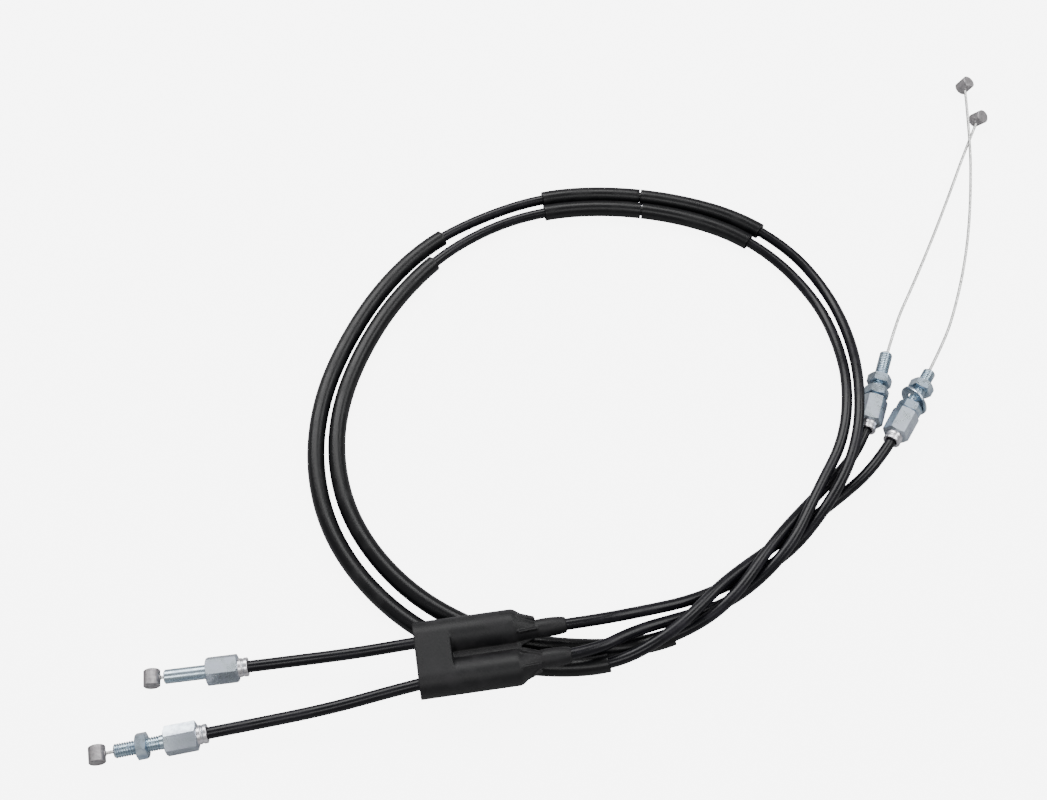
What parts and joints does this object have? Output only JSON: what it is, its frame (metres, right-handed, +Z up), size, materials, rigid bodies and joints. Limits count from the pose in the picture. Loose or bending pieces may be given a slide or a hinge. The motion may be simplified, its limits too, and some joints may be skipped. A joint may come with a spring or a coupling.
{
  "type": "throttle cable pair",
  "caption": "Pair of motorcycle throttle cables in a loop: sleeved casings through a twin boot, swivelling threaded ends with lock nuts, barrel nipples on bare wires.",
  "frame": {"origin": "on the surface that the set lies on, under the middle of its bounding box", "axes": "+Z up from the surface; +X from the throttle-grip ends toward the carburettor ends; +Y away from the boot, toward the far side of the loop"},
  "size_m": [0.4208, 0.3686, 0.0241],
  "materials": {
    "casing_black": "satin black vinyl",
    "sleeve_black": "matt black sleeve",
    "boot_rubber": "matt black moulded rubber",
    "zinc_plate": "blue-grey zinc plating",
    "zinc_collar": "pale zinc plating",
    "nipple_zinc": "matt die-cast zinc",
    "wire_steel": "galvanised steel strand",
    "spring_steel": "flat-wire steel conduit",
    "liner_white": "white low-friction liner"
  },
  "bodies": {
    "casings": {"return_jacket": "casing_black", "return_conduit": "spring_steel", "return_liner": "liner_white", "return_grip_ferrule": "zinc_collar", "return_carb_ferrule": "zinc_collar", "return_top_sleeve_right": "sleeve_black", "return_top_sleeve_left": "sleeve_black", "return_side_sleeve": "sleeve_black", "pull_jacket": "casing_black", "pull_conduit": "spring_steel", "pull_liner": "liner_white", "pull_grip_ferrule": "zinc_collar", "pull_carb_ferrule": "zinc_collar", "pull_top_sleeve_right": "sleeve_black", "pull_top_sleeve_left": "sleeve_black", "pull_side_sleeve": "sleeve_black"},
    "return_grip_end": {"return_grip_nipple": "nipple_zinc", "return_grip_wire": "wire_steel"},
    "return_carb_end": {"return_carb_nipple": "nipple_zinc", "return_inner_wire": "wire_steel"},
    "return_grip_swivel": {"return_grip_tube": "zinc_plate", "return_grip_body": "zinc_plate"},
    "return_carb_swivel": {"return_carb_tube": "zinc_plate", "return_carb_body": "zinc_plate"},
    "pull_grip_end": {"pull_grip_nipple": "nipple_zinc", "pull_grip_wire": "wire_steel"},
    "pull_carb_end": {"pull_carb_nipple": "nipple_zinc", "pull_inner_wire": "wire_steel"},
    "pull_grip_swivel": {"pull_grip_tube": "zinc_plate", "pull_grip_body": "zinc_plate"},
    "pull_carb_swivel": {"pull_carb_tube": "zinc_plate", "pull_carb_body": "zinc_plate"},
    "pull_grip_nut": {"pull_grip_nut": "zinc_plate"},
    "pull_carb_inner_nut": {"pull_carb_inner_nut": "zinc_plate"},
    "pull_carb_outer_nut": {"pull_carb_outer_nut": "zinc_plate"},
    "return_carb_inner_nut": {"return_carb_inner_nut": "zinc_plate"},
    "return_carb_outer_nut": {"return_carb_outer_nut": "zinc_plate"},
    "return_carb_washer": {"return_carb_washer": "zinc_plate"},
    "twin_boot": {"twin_boot": "boot_rubber"}
  },
  "joints": [
    {"name": "pull_grip_draw", "type": "slide", "parent": "casings", "child": "pull_grip_end", "axis": [-0.9799, -0.1994, 0], "range_m": [0, 0.034]},
    {"name": "pull_carb_draw", "type": "slide", "parent": "casings", "child": "pull_carb_end", "axis": [-0.4153, -0.9096, 0.0105], "range_m": [0, 0.034], "deforming": ["pull_inner_wire"]},
    {"name": "pull_grip_turn", "type": "hinge", "parent": "casings", "child": "pull_grip_swivel", "pos_m": [-0.17865, -0.17399, 0.0065], "axis": [-0.9799, -0.1994, 0], "continuous": true},
    {"name": "pull_carb_turn", "type": "hinge", "parent": "casings", "child": "pull_carb_swivel", "pos_m": [0.1311, -0.01225, 0.0065], "axis": [0.3256, 0.9455, 0], "continuous": true},
    {"name": "return_grip_draw", "type": "slide", "parent": "casings", "child": "return_grip_end", "axis": [-0.9917, -0.1288, 0], "range_m": [0, 0.034]},
    {"name": "return_carb_draw", "type": "slide", "parent": "casings", "child": "return_carb_end", "axis": [-0.2394, -0.9708, 0.0143], "range_m": [0, 0.034], "deforming": ["return_inner_wire"]},
    {"name": "return_grip_turn", "type": "hinge", "parent": "casings", "child": "return_grip_swivel", "pos_m": [-0.16485, -0.14425, 0.0065], "axis": [-0.9917, -0.1288, 0], "continuous": true},
    {"name": "return_carb_turn", "type": "hinge", "parent": "casings", "child": "return_carb_swivel", "pos_m": [0.14474, -0.02048, 0.0075], "axis": [0.5225, 0.8526, 0], "continuous": true},
    {"name": "pull_grip_nut_travel", "type": "slide", "parent": "pull_grip_swivel", "child": "pull_grip_nut", "axis": [-0.9799, -0.1994, 0], "range_m": [-0.0065, 0.0085]},
    {"name": "pull_carb_inner_nut_travel", "type": "slide", "parent": "pull_carb_swivel", "child": "pull_carb_inner_nut", "axis": [0.3256, 0.9455, 0], "range_m": [-0.0009, 0.001]},
    {"name": "pull_carb_outer_nut_travel", "type": "slide", "parent": "pull_carb_swivel", "child": "pull_carb_outer_nut", "axis": [0.3256, 0.9455, 0], "range_m": [-0.0009, 0.013]},
    {"name": "return_carb_inner_nut_travel", "type": "slide", "parent": "return_carb_swivel", "child": "return_carb_inner_nut", "axis": [0.5225, 0.8526, 0], "range_m": [0, 0.0023]},
    {"name": "return_carb_outer_nut_travel", "type": "slide", "parent": "return_carb_swivel", "child": "return_carb_outer_nut", "axis": [0.5225, 0.8526, 0], "range_m": [-0.0005, 0.0072]},
    {"name": "return_carb_washer_travel", "type": "slide", "parent": "return_carb_swivel", "child": "return_carb_washer", "axis": [0.5225, 0.8526, 0], "range_m": [0, 0.0023]},
    {"name": "twin_boot_travel", "type": "slide", "parent": "casings", "child": "twin_boot", "axis": [0.989, 0.1482, 0], "range_m": [-0.008, 0]}
  ],
  "couplings": [
    {"joint": "pull_carb_draw", "follows": "pull_grip_draw", "ratio": 1},
    {"joint": "return_carb_draw", "follows": "return_grip_draw", "ratio": 1},
    {"joint": "return_carb_washer_travel", "follows": "return_carb_inner_nut_travel", "ratio": 1}
  ]
}
